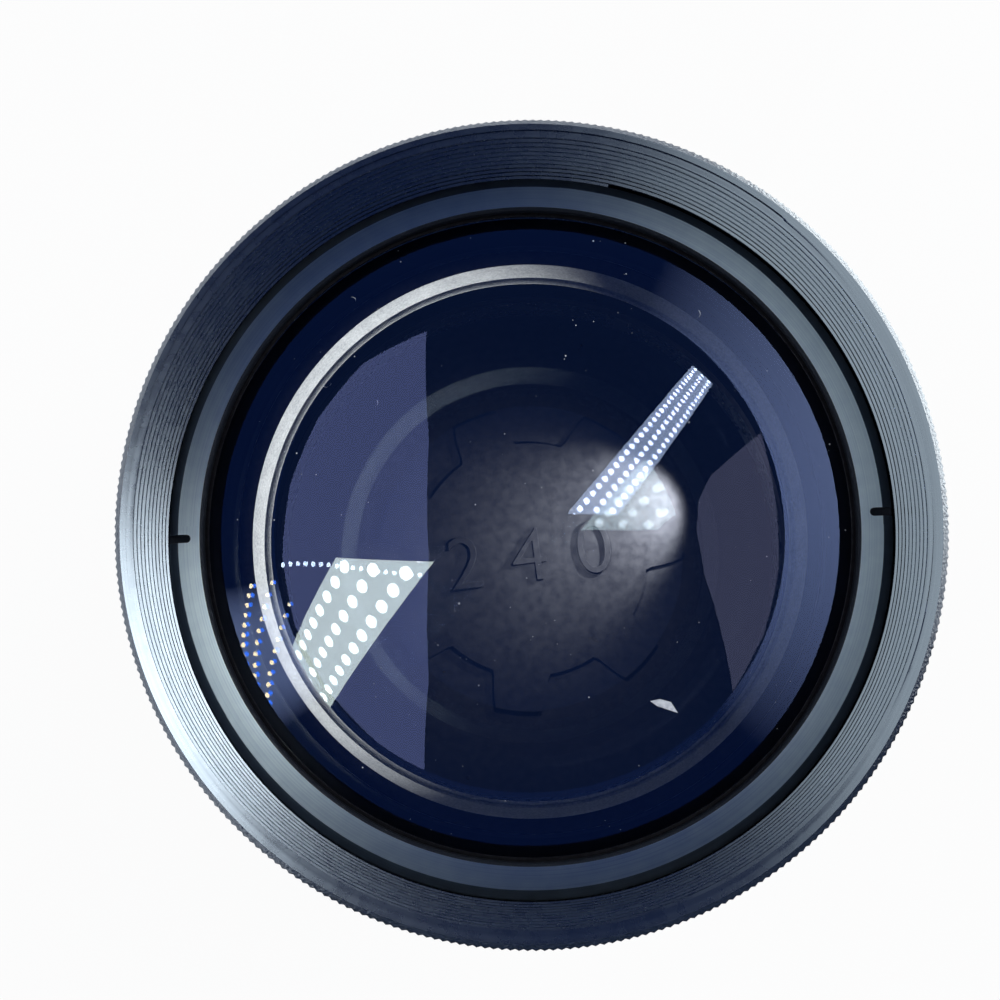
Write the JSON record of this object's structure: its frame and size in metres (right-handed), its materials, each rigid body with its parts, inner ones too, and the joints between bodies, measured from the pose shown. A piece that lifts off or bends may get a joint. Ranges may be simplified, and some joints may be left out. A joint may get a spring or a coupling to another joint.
{
  "type": "teleconverter lens",
  "caption": "Black teleconverter lens with a knurled threaded front rim, coated front and rear glass in notched retaining rings, and a ribbed screw-on rear cap it stands on.",
  "frame": {"origin": "middle of the rear cap's outer face, on the surface that the lens stands on", "axes": "+Z along the optical axis, out of the front glass; X and Y square to it, X along the line through the front ring's notches to within about two degrees"},
  "size_m": [0.0626, 0.0626, 0.045],
  "materials": {
    "black_anodised": "satin",
    "grey_anodised": "matte",
    "coated_glass": "polished",
    "washer_film": "matte",
    "cap_plastic": "matte",
    "black_steel": "satin"
  },
  "bodies": {
    "lens_body": {"front_shell": "black_anodised", "front_retaining_ring": "black_anodised", "front_washer": "washer_film", "front_crown_lens": "coated_glass", "front_flint_lens": "coated_glass", "baffle_sleeve": "black_anodised", "rear_barrel": "black_anodised", "rear_retaining_ring": "grey_anodised", "rear_washer": "washer_film", "rear_concave_lens": "coated_glass", "rear_meniscus_lens": "coated_glass", "rear_mount_ring": "black_anodised", "mount_screws": "black_steel", "barrel_grub_screws": "black_steel"},
    "rear_cap": {"rear_cap": "cap_plastic"}
  },
  "joints": [
    {"name": "cap_off", "type": "slide", "parent": "lens_body", "child": "rear_cap", "axis": [0, 0, -1], "range_m": [0, 0.012]}
  ]
}
